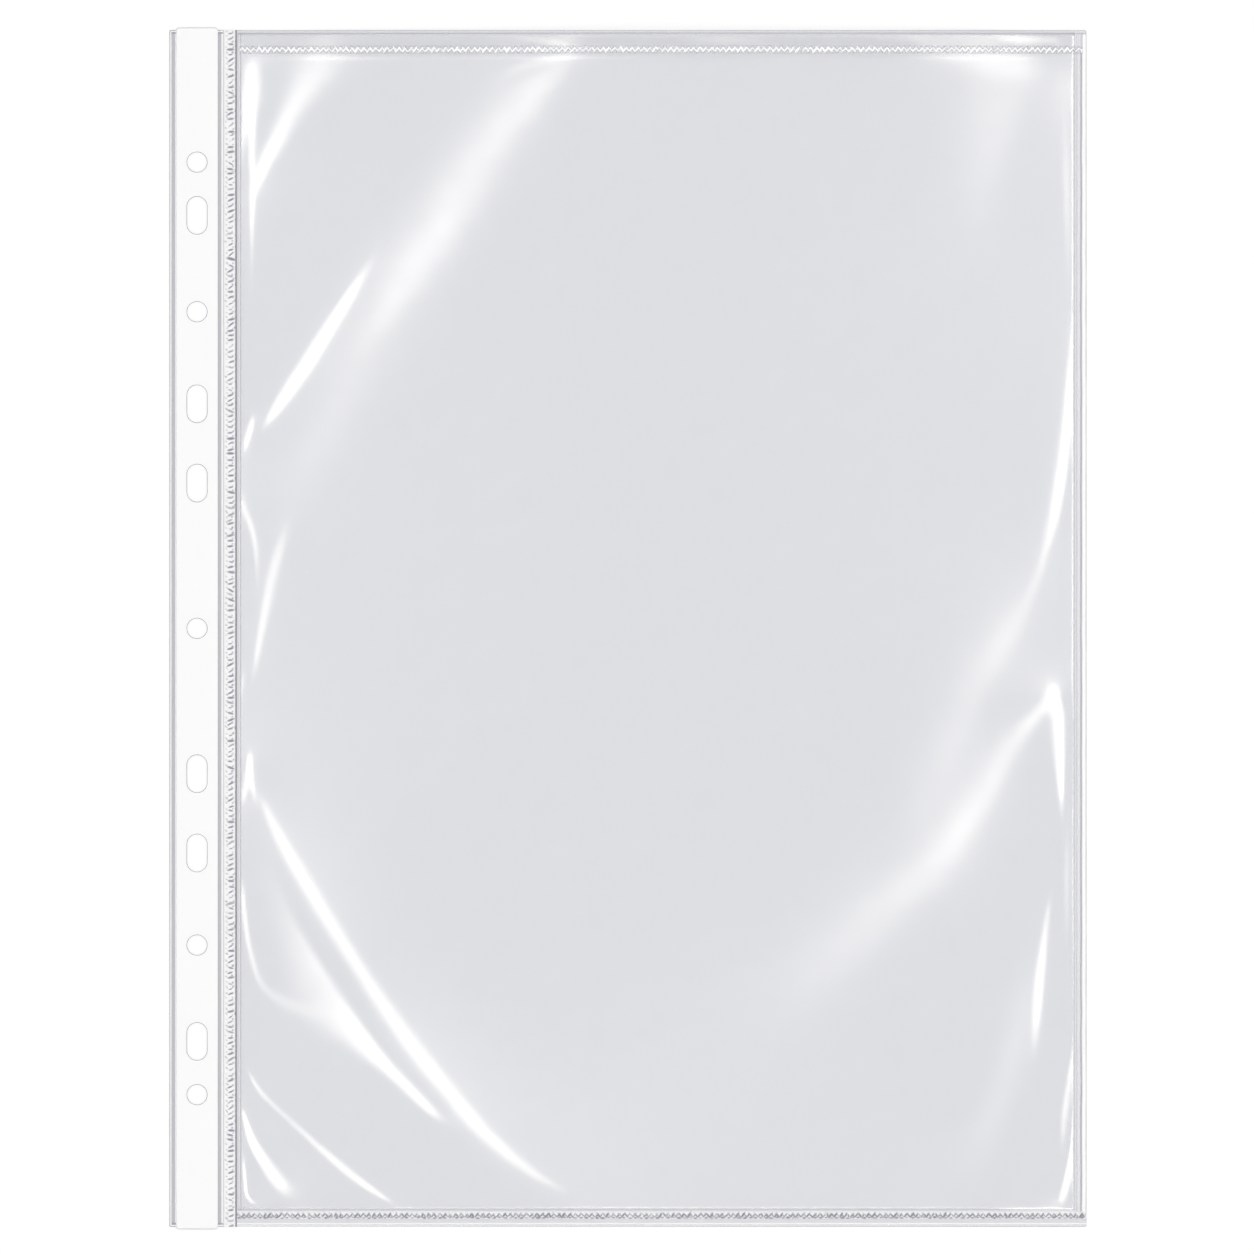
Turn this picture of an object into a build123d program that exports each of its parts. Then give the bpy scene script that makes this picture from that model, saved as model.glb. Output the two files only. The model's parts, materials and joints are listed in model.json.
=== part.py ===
from build123d import *
import os

# Clear sheet protector, lying on a table. +Z points out of the front film, +Y towards the mouth and
# +X away from the binding strip. The origin is under the middle of the sheet, on the table.
# All sizes are in millimetres.

os.makedirs("parts", exist_ok=True)

# clear film
film_width = 236.0  # fold of the binding margin to the free side edge
film_height = 308.0  # bottom edge to mouth edge
film_thickness = 0.12
film_corner = 0.5  # radius of the trimmed corners on the free side

# white binding strip
strip_width = 10.8
strip_thickness = 0.2
strip_inset = 1.7  # fold to strip
strip_overhang = 0.6  # strip past the film at either end
strip_corner = 0.8

# bead along the fold of the binding margin
fold_width = 0.8
fold_height = 0.45

# filing holes, measured up and down from the middle of the strip
hole_diameter = 5.5
slot_length = 10.0
inner_slot_offset = 37.4
middle_slot_offset = 57.8
inner_hole_offset = 81.5
outer_slot_offset = 106.3
outer_hole_offset = 120.0

# crease that the pocket turns on
crease_land = 1.4  # strip to binding weld
crease_gap = 0.6  # clearance between the two film ends at the crease

# welds
binding_weld_width = 3.5
bottom_weld_width = 2.2
side_weld_width = 1.5
weld_rise = 0.3  # bead above the back film
bottom_flange = 1.8  # trimmed film outside the bottom weld
side_flange = 1.2  # trimmed film outside the side weld

# raised front film and its mouth
pocket_depth = 5.0  # room between the films under the raised middle
side_slope = 16.0  # width over which the film rises from either side weld
bottom_slope = 20.0  # length over which the film rises from the bottom weld
seam_clearance = 0.2  # front film to the welds
lip_step = 0.8  # front film below the back film at the mouth
hem_drop = 3.3  # mouth lip to hem
hem_width = 2.0
hem_thickness = 0.2

# edges of the pieces, from left to right
left_edge = -film_width / 2
strip_left = left_edge + strip_inset
strip_right = strip_left + strip_width
strip_middle = strip_left + strip_width / 2
weld_left = strip_right + crease_land
weld_right = weld_left + binding_weld_width
crease = strip_right + crease_land / 2
margin_end = crease - crease_gap / 2
pocket_start = crease + crease_gap / 2
right_edge = film_width / 2
side_weld_right = right_edge - side_flange
side_weld_left = side_weld_right - side_weld_width
front_left = weld_right + seam_clearance
front_right = side_weld_left - seam_clearance

# edges of the pieces, from bottom to mouth
bottom_edge = -film_height / 2
bottom_weld_low = bottom_edge + bottom_flange
bottom_weld_high = bottom_weld_low + bottom_weld_width
front_bottom = bottom_weld_high + seam_clearance
mouth_edge = film_height / 2
front_top = mouth_edge - lip_step
hem_high = front_top - hem_drop
hem_low = hem_high - hem_width
strip_end = film_height / 2 + strip_overhang

# levels above the table
back_level = film_thickness
double_level = 2 * film_thickness
round_rows = (0, inner_hole_offset, -inner_hole_offset, outer_hole_offset, -outer_hole_offset)
slot_offsets = (inner_slot_offset, middle_slot_offset, outer_slot_offset)
slot_rows = [side * offset for offset in slot_offsets for side in (1, -1)]


def panel(left, right, low, high):
    # rectangle between two corners of the sheet, in the sketch being drawn
    with Locations(((left + right) / 2, (low + high) / 2)):
        Rectangle(right - left, high - low)


def raised_block(rim):
    # solid under a front surface that rises from the given rim height along both sides and the bottom,
    # and runs straight out at the mouth
    left_slope = Plane(origin=(front_left, 0, rim), z_dir=(-pocket_depth, 0, side_slope))
    right_slope = Plane(origin=(front_right, 0, rim), z_dir=(pocket_depth, 0, side_slope))
    low_slope = Plane(origin=(0, front_bottom, rim), z_dir=(0, -pocket_depth, bottom_slope))
    with BuildPart() as block:
        with BuildSketch(Plane.XY.offset(back_level)):
            panel(front_left, front_right, front_bottom, front_top)
        extrude(amount=rim - back_level + pocket_depth)
        for slope in (left_slope, right_slope, low_slope):
            split(bisect_by=slope, keep=Keep.BOTTOM)
    return block.part


# holes punched through strip and margin together
with BuildSketch() as filing_holes:
    with Locations(*[(strip_middle, row) for row in round_rows]):
        Circle(hole_diameter / 2)
    with Locations(*[(strip_middle, row) for row in slot_rows]):
        SlotOverall(slot_length, hole_diameter, rotation=90)

# margin under the strip: film folded on itself, with a bead where it turns
with BuildPart() as margin_film:
    with BuildSketch(Plane.XZ):
        with BuildLine():
            Polyline(
                (left_edge, 0),
                (margin_end, 0),
                (margin_end, double_level),
                (left_edge + fold_width, double_level),
                (left_edge + 2 * fold_width / 3, fold_height),
                (left_edge + fold_width / 3, fold_height),
                (left_edge, double_level),
                close=True,
            )
        make_face()
    extrude(amount=film_height / 2, both=True)
    extrude(filing_holes.sketch, amount=fold_height, mode=Mode.SUBTRACT)
margin_film.part.label = "margin_film"
export_step(margin_film.part, "parts/margin_film.step")

# white strip on the front of the margin
with BuildPart() as binding_strip:
    with BuildSketch(Plane.XY.offset(double_level)) as strip_outline:
        panel(strip_left, strip_right, -strip_end, strip_end)
        fillet(strip_outline.vertices(), strip_corner)
    extrude(amount=strip_thickness)
    extrude(filing_holes.sketch, amount=double_level + strip_thickness, mode=Mode.SUBTRACT)
binding_strip.part.label = "binding_strip"
export_step(binding_strip.part, "parts/binding_strip.step")

# back sheet of the pocket, from the crease to the free side
with BuildPart() as back_film:
    with BuildSketch() as back_outline:
        panel(pocket_start, right_edge, bottom_edge, mouth_edge)
        fillet(back_outline.vertices().group_by(Axis.X)[-1], film_corner)
    extrude(amount=film_thickness)
back_film.part.label = "back_film"
export_step(back_film.part, "parts/back_film.step")

# weld beside the crease, with the strip of front film that runs to the crease
with BuildPart() as binding_weld:
    with BuildSketch(Plane.XY.offset(back_level)):
        panel(weld_left, weld_right, bottom_edge, mouth_edge)
    extrude(amount=weld_rise)
    with BuildSketch(Plane.XY.offset(back_level)):
        panel(pocket_start, weld_left, bottom_edge, mouth_edge)
    extrude(amount=film_thickness)
binding_weld.part.label = "binding_weld"
export_step(binding_weld.part, "parts/binding_weld.step")

# weld across the bottom, with its trimmed flange
with BuildPart() as bottom_weld:
    with BuildSketch(Plane.XY.offset(back_level)):
        panel(weld_right, side_weld_right, bottom_weld_low, bottom_weld_high)
    extrude(amount=weld_rise)
    with BuildSketch(Plane.XY.offset(back_level)) as bottom_trim:
        panel(weld_right, right_edge, bottom_edge, bottom_weld_low)
        fillet(bottom_trim.vertices().group_by(Axis.X)[-1].sort_by(Axis.Y)[0], film_corner)
    extrude(amount=film_thickness)
bottom_weld.part.label = "bottom_weld"
export_step(bottom_weld.part, "parts/bottom_weld.step")

# weld up the free side, with its trimmed flange
with BuildPart() as side_weld:
    with BuildSketch(Plane.XY.offset(back_level)):
        panel(side_weld_left, side_weld_right, bottom_weld_high, front_top)
    extrude(amount=weld_rise)
    with BuildSketch(Plane.XY.offset(back_level)):
        panel(side_weld_right, right_edge, bottom_weld_low, front_top)
    extrude(amount=film_thickness)
side_weld.part.label = "side_weld"
export_step(side_weld.part, "parts/side_weld.step")

# front sheet of the pocket, raised in the middle and open at the mouth
inner_block = raised_block(back_level)
outer_block = raised_block(double_level)
hem_block = raised_block(double_level + hem_thickness)

with BuildPart() as front_film:
    add(outer_block)
    add(inner_block, mode=Mode.SUBTRACT)
front_film.part.label = "front_film"
export_step(front_film.part, "parts/front_film.step")

# hem pressed on the front film below the mouth
with BuildPart() as mouth_hem:
    add(hem_block)
    add(outer_block, mode=Mode.SUBTRACT)
    with BuildSketch():
        panel(front_left, front_right, hem_low, hem_high)
    extrude(amount=double_level + hem_thickness + pocket_depth, mode=Mode.INTERSECT)
mouth_hem.part.label = "mouth_hem"
export_step(mouth_hem.part, "parts/mouth_hem.step")

print(f"crease at x {crease:.2f}, z {back_level:.2f}")
print(f"mouth turns at y {front_bottom:.2f}, z {back_level:.2f}")
print(f"hole line at x {strip_middle:.2f}")
print(f"pocket x {front_left:.2f} to {front_right:.2f}, y {front_bottom:.2f} to {front_top:.2f}")
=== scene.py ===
import json
import math
import bpy
import numpy as np
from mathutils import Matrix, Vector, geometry


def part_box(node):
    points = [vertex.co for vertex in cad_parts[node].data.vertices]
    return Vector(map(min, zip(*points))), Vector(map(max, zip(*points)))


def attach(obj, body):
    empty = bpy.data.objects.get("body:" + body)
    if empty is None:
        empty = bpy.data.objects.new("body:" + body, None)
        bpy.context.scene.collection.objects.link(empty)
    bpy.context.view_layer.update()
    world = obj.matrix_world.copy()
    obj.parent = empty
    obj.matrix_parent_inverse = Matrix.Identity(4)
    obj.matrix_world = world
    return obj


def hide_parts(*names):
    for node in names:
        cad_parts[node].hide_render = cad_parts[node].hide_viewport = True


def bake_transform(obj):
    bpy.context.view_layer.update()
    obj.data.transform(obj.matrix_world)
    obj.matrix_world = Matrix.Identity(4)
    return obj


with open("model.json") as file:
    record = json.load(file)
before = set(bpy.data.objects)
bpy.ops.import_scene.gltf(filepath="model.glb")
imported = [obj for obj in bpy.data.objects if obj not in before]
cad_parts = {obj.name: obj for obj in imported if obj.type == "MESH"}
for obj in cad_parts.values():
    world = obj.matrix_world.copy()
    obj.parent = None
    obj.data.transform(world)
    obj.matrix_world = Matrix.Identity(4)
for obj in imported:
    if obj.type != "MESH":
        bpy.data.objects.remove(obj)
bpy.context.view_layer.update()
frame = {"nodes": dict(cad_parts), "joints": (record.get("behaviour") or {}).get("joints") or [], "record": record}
scene = bpy.context.scene
mm = 0.001  # sizes below are millimetres in the part's own frame, meshes are written in metres
print("frame loaded:", ", ".join(sorted(frame["nodes"])))


def nodeBox(node):
    low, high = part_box(node)
    return np.array(low) / mm, np.array(high) / mm


stripLow, stripHigh = nodeBox("binding_strip")
marginLow, marginHigh = nodeBox("margin_film")
backLow, backHigh = nodeBox("back_film")
weldLow, weldHigh = nodeBox("binding_weld")
bottomLow, bottomHigh = nodeBox("bottom_weld")
sideLow, sideHigh = nodeBox("side_weld")
frontLow, frontHigh = nodeBox("front_film")
hemLow, hemHigh = nodeBox("mouth_hem")
joints = {joint["name"]: joint for joint in frame["joints"]}
crease = joints["page_turn"]["pos_m"][0] / mm
filmThickness = backHigh[2] - backLow[2]
pocketCentre = (frontLow + frontHigh) / 2
filmGap = 0.01  # air between pieces that lie on each other


# shader maths

class Wire:
    # one output socket, so that maths on it reads as an expression
    def __init__(self, finish, socket):
        self.finish = finish
        self.socket = socket

    def maths(self, operation, first, second):
        return self.finish.node("ShaderNodeMath", {"operation": operation}, {0: first, 1: second})

    def __add__(self, other):
        return self.maths("ADD", self, other)

    def __sub__(self, other):
        return self.maths("SUBTRACT", self, other)

    def __rsub__(self, other):
        return self.maths("SUBTRACT", other, self)

    def __mul__(self, other):
        return self.maths("MULTIPLY", self, other)

    def __pow__(self, other):
        return self.maths("POWER", self, other)

    def atMost(self, other):
        return self.maths("MINIMUM", self, other)

    __radd__ = __add__
    __rmul__ = __mul__


class Finish:
    # one node tree, filled node by node
    def __init__(self, tree):
        self.tree = tree
        tree.nodes.clear()

    def node(self, kind, settings=None, sockets=None, output=0):
        made = self.tree.nodes.new(kind)
        for key, value in (settings or {}).items():
            setattr(made, key, value)
        for key, value in (sockets or {}).items():
            if isinstance(value, Wire):
                self.tree.links.new(value.socket, made.inputs[key])
            else:
                made.inputs[key].default_value = value
        return Wire(self, made.outputs[output]) if made.outputs else made

    def mark(self, name):
        return self.node("ShaderNodeAttribute", {"attribute_name": name}, {}, "Fac")

    def noise(self, size, detail=2.0):
        place = self.node("ShaderNodeTexCoord", {}, {}, "Object")
        sockets = {"Vector": place, "Scale": 1 / (size * mm), "Detail": detail}
        return self.node("ShaderNodeTexNoise", {}, sockets, "Fac")

    def bump(self, height, strength, depth):
        sockets = {"Strength": strength, "Distance": depth * mm, "Height": height}
        return self.node("ShaderNodeBump", {}, sockets, "Normal")

    def shade(self, amount, dark, pale):
        # a Mix node has its colours in sockets 6 and 7, and gives the mixed one in output 2
        return self.node("ShaderNodeMix", {"data_type": "RGBA"}, {0: amount, 6: dark, 7: pale}, 2)

    def show(self, surface):
        self.node("ShaderNodeOutputMaterial", {}, {"Surface": surface})

    def showOver(self, surface, cover, clear):
        # the surface where cover is 1, plain clear film where it is 0
        gap = self.node("ShaderNodeBsdfTransparent", {}, {"Color": clear})
        self.show(self.node("ShaderNodeMixShader", {}, {0: cover, 1: gap, 2: surface}))


def newMaterial(name):
    material = bpy.data.materials.new(name)
    material.use_nodes = True
    return material, Finish(material.node_tree)


def grey(level, cool=0.0):
    return (level * (1 - cool / 2), level * (1 - cool / 2), level * (1 + cool), 1.0)


# materials

filmLook = {
    "sheen": 0.055,  # light that one face of the film throws back when seen square on
    "grazing": 5.0,  # power by which that grows towards a grazing view
    "clear": (0.952, 0.954, 0.961, 1.0),  # light that one face lets through
    "roughness": 0.1,
    "hazeRoughness": 0.25,
    "hazePaint": 8.0,  # haze times this is the share of paint in the sheen
    "gloss": 0.2,  # of the hazy places
    "pale": grey(0.97),
    # dark end of the film tone; beside the welds and round the holes it is painted shade
    "dark": grey(0.16, 0.45),
}


def makeClearFilm(name="clear_film", look=filmLook):
    material, film = newMaterial(name)
    facing = film.node("ShaderNodeLayerWeight", {}, {"Blend": 0.5}, "Facing")
    haze = film.mark("haze")
    sheen = look["sheen"] + (1 - look["sheen"]) * facing ** look["grazing"]
    cover = sheen + haze * (1 - sheen)
    clearness = 1 - (haze * look["hazePaint"]).atMost(1.0)
    paint = film.shade(film.mark("tone"), look["dark"], look["pale"])
    paint = film.shade(clearness, paint, look["pale"])
    surface = film.node("ShaderNodeBsdfPrincipled", {}, {
        "Base Color": paint,
        "Metallic": clearness,
        "Roughness": look["roughness"] + look["hazeRoughness"] * haze,
        "Specular IOR Level": look["gloss"],
    })
    film.showOver(surface, cover, look["clear"])
    return material


weldLook = {
    "clear": (0.984, 0.985, 0.988, 1.0),
    "roughness": 0.22,
    "gloss": 0.2,
    "frostSize": 0.6,
    "frostBump": (0.6, 0.02),  # strength and depth
    "frostRoughness": 0.2,
    "pale": grey(0.985, 0.005),
    # dark end of the weld tone; in the pressed strokes it is painted shade
    "dark": grey(0.17, 0.25),
}


def makePressedWeld(name="pressed_weld", look=weldLook):
    material, weld = newMaterial(name)
    frost = weld.noise(look["frostSize"])
    surface = weld.node("ShaderNodeBsdfPrincipled", {}, {
        "Base Color": weld.shade(weld.mark("tone"), look["dark"], look["pale"]),
        "Roughness": look["roughness"] + look["frostRoughness"] * frost,
        "Specular IOR Level": look["gloss"],
        "Normal": weld.bump(frost, *look["frostBump"]),
    })
    weld.showOver(surface, weld.mark("haze"), look["clear"])
    return material


stripLook = {
    "pale": grey(0.95),
    # colour of the painted shade along the strip's rounded edges
    "edge": grey(0.42, 0.06),
    "roughness": 0.42,
    "gloss": 0.2,
    "grain": (0.9, 3.0),  # size and detail
    "grainBump": (0.5, 0.01),  # strength and depth
    "grainRoughness": 0.12,
    "cloudSize": 16,
    "cloudTone": 0.03,
}


def makeWhiteStrip(name="white_strip", look=stripLook):
    material, strip = newMaterial(name)
    grain = strip.noise(*look["grain"])
    tone = strip.mark("tone") - look["cloudTone"] * strip.noise(look["cloudSize"])
    surface = strip.node("ShaderNodeBsdfPrincipled", {}, {
        "Base Color": strip.shade(tone, look["edge"], look["pale"]),
        "Roughness": look["roughness"] + look["grainRoughness"] * grain,
        "Specular IOR Level": look["gloss"],
        "Normal": strip.bump(grain, *look["grainBump"]),
    })
    strip.show(surface)
    return material


clearFilm = makeClearFilm()
pressedWeld = makePressedWeld()
whiteStrip = makeWhiteStrip()
print("materials made")


# mesh helpers

sharpAngle = 55  # degrees from which an edge is hard
flatDepth = 9.0  # depth of a plate's inner places, where the depth of an edge loop is its inset
holeDepth = 10.0  # the loops round holes have depths from here on


def bell(value, half, power=2):
    # 1 at 0, falling away on either side
    return np.exp(-(value / half) ** power)


def ramp(value, width):
    # 0 up to 0, then rising to 1 over the width
    return np.clip(value / width, 0, 1)


def ridgeAt(away, place, half, height):
    return height * bell(away - place, half)


def evenPlaces(low, high, step, more=0):
    return np.linspace(low, high, int((high - low) / step) + more)


def addPiece(name, points, faces, marks, material):
    mesh = bpy.data.meshes.new(name)
    mesh.from_pydata((np.asarray(points) * mm).tolist(), [], faces)
    mesh.shade_smooth()
    mesh.set_sharp_from_angle(angle=math.radians(sharpAngle))
    for key, values in marks.items():
        attribute = mesh.attributes.new(key, "FLOAT", "POINT")
        attribute.data.foreach_set("value", np.asarray(values, np.float32).ravel())
    mesh.materials.append(material)
    piece = bpy.data.objects.new(name, mesh)
    scene.collection.objects.link(piece)
    return piece


def rimOf(columns, rows):
    # grid places round the edge, anticlockwise
    low = np.arange(columns)
    right = np.arange(1, rows) * columns + columns - 1
    high = (rows - 1) * columns + np.arange(columns - 2, -1, -1)
    left = np.arange(rows - 2, 0, -1) * columns
    return np.concatenate([low, right, high, left])


def quilt(name, gridX, gridY, top, bottom, haze, tone, material):
    # closed sheet over a grid of places, with a flat underside where bottom is one height
    rows, columns = gridX.shape
    upper = np.stack([gridX, gridY, top], -1).reshape(-1, 3)
    count = len(upper)
    row, column = np.mgrid[0:rows - 1, 0:columns - 1]
    corner = (row * columns + column).ravel()
    quads = np.stack([corner, corner + 1, corner + columns + 1, corner + columns], 1)
    rim = rimOf(columns, rows)
    ahead = np.roll(rim, -1)
    if np.isscalar(bottom):
        lower = upper[rim].copy()
        lower[:, 2] = bottom
        under = np.arange(count, count + len(rim))
        underAhead = np.roll(under, -1)
        base = [under[::-1].tolist()]
        order = np.concatenate([np.arange(count), rim])
    else:
        lower = np.stack([gridX, gridY, bottom], -1).reshape(-1, 3)
        under = rim + count
        underAhead = ahead + count
        base = (quads[:, ::-1] + count).tolist()
        order = np.concatenate([np.arange(count), np.arange(count)])
    walls = np.stack([ahead, rim, under, underAhead], 1)
    faces = quads.tolist() + base + walls.tolist()
    marks = {"haze": np.ravel(haze)[order], "tone": np.ravel(tone)[order]}
    if np.isscalar(bottom):
        marks["haze"][count:] = 0  # the underside is clear
    return addPiece(name, np.concatenate([upper, lower]), faces, marks, material)


def slotLoop(centre, radius, straight, steps=20):
    # closed loop of a round hole, or of a slot that is longer along Y
    turn = np.linspace(0, math.pi, steps)
    upper = np.stack([radius * np.cos(turn), radius * np.sin(turn) + straight / 2], 1)
    lower = np.stack([-radius * np.cos(turn), -radius * np.sin(turn) - straight / 2], 1)
    if not straight:
        return np.concatenate([upper[:-1], lower[:-1]]) + centre
    return np.concatenate([upper, lower]) + centre


def cornerLoop(low, high, radii, steps=6, least=1e-3):
    # closed loop of a rectangle, with one radius for each corner from the lower left, anticlockwise
    loop = []
    for index, radius in enumerate(radii):
        radius = max(radius, least)  # points of a sharp corner stay apart
        x = low[0] + radius if index in (0, 3) else high[0] - radius
        y = low[1] + radius if index in (0, 1) else high[1] - radius
        start = math.pi + index * math.pi / 2
        for angle in np.linspace(start, start + math.pi / 2, steps):
            loop.append((x + radius * math.cos(angle), y + radius * math.sin(angle)))
    return np.array(loop)


def edgeLoops(low, high, radii, steps):
    # loops along the edge of a rectangle, one for the inset that each step begins with
    insets = [step[0] for step in steps]
    return [(inset, cornerLoop(low + inset, high - inset, np.array(radii) - inset)) for inset in insets]


def stepMarks(depth, steps):
    # two values that change with the depth, read from steps of depth and both values
    depths, first, second = zip(*steps)
    return np.interp(depth, depths, first), np.interp(depth, depths, second)


def plate(name, edge, holes, extra, topAt, bottom, marksAt, material, spacing=1e-5):
    # closed flat piece: edge and each hole are loops with their depths, from the rim into the piece
    places = []
    depths = []
    borders = []
    rims = []
    for family in [edge] + holes:
        for ring, (mark, loop) in enumerate(family):
            index = len(places) + np.arange(len(loop))
            borders += np.stack([index, np.roll(index, -1)], 1).tolist()
            if ring == 0:
                rims.append(index)
            places += loop.tolist()
            depths += [mark] * len(loop)
    places += list(extra)
    depths += [flatDepth] * len(extra)
    flat, _, triangles, origin, _, _ = geometry.delaunay_2d_cdt(places, borders, [], 0, spacing)
    flat = np.array([tuple(place) for place in flat])
    source = np.array([found[0] for found in origin])
    where = {old: new for new, old in enumerate(source)}
    depth = np.array(depths)[source]
    holeOf = np.full(len(flat), -1)
    for number, rim in enumerate(rims[1:]):
        holeOf[[where[old] for old in rim]] = number
    kept = []
    for face in triangles:
        owners = {holeOf[corner] for corner in face}
        if len(owners) > 1 or -1 in owners:
            kept.append(face)
    count = len(flat)
    upper = np.column_stack([flat, topAt(flat[:, 0], flat[:, 1], depth)])
    lower = np.column_stack([flat, np.full(count, bottom)])
    faces = [list(face) for face in kept]
    faces += [[corner + count for corner in reversed(face)] for face in kept]
    for number, rim in enumerate(rims):
        loop = [where[old] for old in rim]
        if number:
            loop = loop[::-1]
        for here, ahead in zip(loop, loop[1:] + loop[:1]):
            faces.append([ahead, here, here + count, ahead + count])
    marks = marksAt(flat[:, 0], flat[:, 1], depth)
    marks = {key: np.concatenate([values, values]) for key, values in marks.items()}
    return addPiece(name, np.concatenate([upper, lower]), faces, marks, material)


def gradedPlaces(low, high, marks, fine, growth, coarse):
    # places from low to high, close together near the marks and wider apart away from them
    places = [low]
    while places[-1] < high:
        away = min(abs(places[-1] - mark) for mark in marks)
        places.append(places[-1] + min(fine + growth * away, coarse))
    places = np.array(places)
    return low + (places - low) * (high - low) / (places[-1] - low)


def bandMarks(place, bands, haze=0.0, tone=1.0):
    # haze and tone of pressed lines along a piece, over those that are there
    # a band is a place, half width, haze and tone
    for centre, half, cover, shade in bands:
        share = bell(place - centre, half, power=4)
        haze = haze + (cover - haze) * share
        tone = tone + (shade - tone) * share
    return haze, tone


def mouthMarks(haze, tone, away, half, cover, shade):
    # pressed line along the mouth
    lip = bell(away, half)
    return np.maximum(haze, cover * lip), tone * (1 - shade * lip)


wheelWear = {"across": 0.7, "lean": 2, "size": 1.4, "depth": 1.5}  # as multiples of the jitter
strokeSizes = (0.6, 1.5)  # least and greatest
strokeRim = (0.2, 0.5)  # where a stroke starts and how soon it is full


def pressPattern(along, across, shape, seed):
    # strokes of a heated wheel: 1 in the middle of a stroke, 0 between them
    # a row is a place across, half width, half length, phase, slant and depth
    draw = np.random.default_rng(seed)
    pitch = shape["pitch"]
    along = along - along.min()
    count = int(along.max() / pitch) + 4  # with some to spare
    rimStart, rimWidth = strokeRim
    strokes = np.zeros_like(along)
    for place, halfAcross, halfAlong, phase, slant, depth in shape["rows"]:
        shift = draw.normal(0, shape["jitter"], (count, 5))  # across, along, lean, size and depth
        index = np.round(along / pitch - phase).astype(int)
        wobble = shift[np.clip(index, 0, count - 1)]
        offAcross = across - place - wheelWear["across"] * wobble[..., 0]
        lean = slant + wheelWear["lean"] * wobble[..., 2]
        offAlong = along - (index + phase) * pitch - wobble[..., 1] - lean * offAcross
        size = np.clip(1 + wheelWear["size"] * wobble[..., 3], *strokeSizes)
        stroke = bell(offAcross, halfAcross * size) * bell(offAlong, halfAlong * size)
        depth = depth * (1 + wheelWear["depth"] * wobble[..., 4])
        strokes = np.maximum(strokes, ramp(stroke - rimStart, rimWidth) * depth)
    return np.clip(strokes, 0, 1)


def weldTop(high, crown):
    # the height of a weld where crown is 1, and of a thin flange where it is 0
    flange = backHigh[2] + filmThickness
    return flange + (high - flange) * crown


# filing holes, read from the record

holeList = []
for mount in frame["record"]["mounts"]:
    centre = np.array(mount["pos_m"][:2]) / mm
    dims = mount["dims"]
    if mount["kind"] == "bore":
        holeList.append((centre, dims["r_mm"], 0.0))
    elif mount["kind"] == "bolt_pattern":
        for side in (-0.5, 0.5):
            straight = dims["slot_length_mm"] - 2 * dims["hole_r_mm"]
            holeList.append((centre + (0, side * dims["spacing_y_mm"]), dims["hole_r_mm"], straight))
print("filing holes:", len(holeList))


def holeLoops(steps):
    # loops round every filing hole, from pairs of depth and distance from its edge
    holes = []
    for centre, radius, straight in holeList:
        holes.append([(depth, slotLoop(centre, radius + away, straight)) for depth, away in steps])
    return holes


# white strip down the binding side

stripShape = {
    "corner": 0.8,
    "edgeSteps": ((0.0, 0.09, 0.55), (0.08, 0.02, 0.8), (0.2, 0.0, 1.0)),  # inset, drop and tone; the darker tone at the edge is painted shade of the rounded edge
    "holeSteps": ((0.0, 0.03, 1.0), (0.06, 0.01, 1.0), (0.15, 0.0, 1.0)),
    "endReach": (0.5, 0.15),  # length and inset of the edge at the two ends
    "endTone": 0.5,  # share of the edge tone that they keep, which deepens the painted shade along the ends
}


def makeStrip(shape):
    edge = edgeLoops(stripLow[:2], stripHigh[:2], [shape["corner"]] * 4, shape["edgeSteps"])
    holes = holeLoops([(holeDepth + inset, inset) for inset, _, _ in shape["holeSteps"]])
    steps = list(shape["edgeSteps"]) + [(flatDepth, 0.0, 1.0)]
    steps += [(holeDepth + inset, drop, tone) for inset, drop, tone in shape["holeSteps"]]
    endLength, endInset = shape["endReach"]

    def topAt(x, y, depth):
        return stripHigh[2] - stepMarks(depth, steps)[0]

    # edges and ends take a darker tone: painted shade of the rounded edge
    def marksAt(x, y, depth):
        atEnd = (np.abs(y) > stripHigh[1] - endLength) & (depth < endInset)
        return {"tone": stepMarks(depth, steps)[1] * np.where(atEnd, shape["endTone"], 1)}

    strip = plate("bindingStrip", edge, holes, [], topAt, stripLow[2], marksAt, whiteStrip)
    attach(strip, "binding")
    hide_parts("binding_strip")


makeStrip(stripShape)
print("strip made")


# folded film under the strip, running over the crease to the binding weld

marginShape = {
    "corner": 0.4,
    "pocketSide": 0.7,  # film past the crease, up to the weld
    "bendHalf": 0.4,  # half of the width that bends at the crease
    "bead": (0.4, 0.3),  # place from the fold and half width
    "ridge": (0.48, 0.16, 0.12),  # place from the crease, half width and height
    "lipSteps": (  # film that shows inside the holes: width, haze and tone; the dark tones are painted shade on the punched rims
        (0.17, 0.9, 0.1),
        (0.08, 0.9, 0.2),
        (0.05, 0.9, 1.0),
    ),
    "rowStep": 4.0,
    "fineStep": 0.08,
    "underStrip": 0.3,  # fine columns that run on under the strip
    "edgeGap": 0.02,  # last column to the edge
    "endRows": (0.02, 1.3, 0.1),  # rows near either end
    "foldBands": (  # from the fold
        (1.0, 0.46, 0.5, 0.56),
        (1.62, 0.12, 0.9, 1.0),
    ),
    "creaseBands": (  # from the crease
        (-0.35, 0.5, 0.5, 0.57),
        (0.44, 0.3, 0.95, 1.0),
    ),
    "endBands": (  # from either end
        (0.74, 0.2, 0.7, 0.3),
    ),
    "rimBands": (  # from the nearest edge
        (0.02, 0.12, 0.5, 0.4),
        (0.34, 0.18, 0.9, 1.0),
    ),
}


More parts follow.
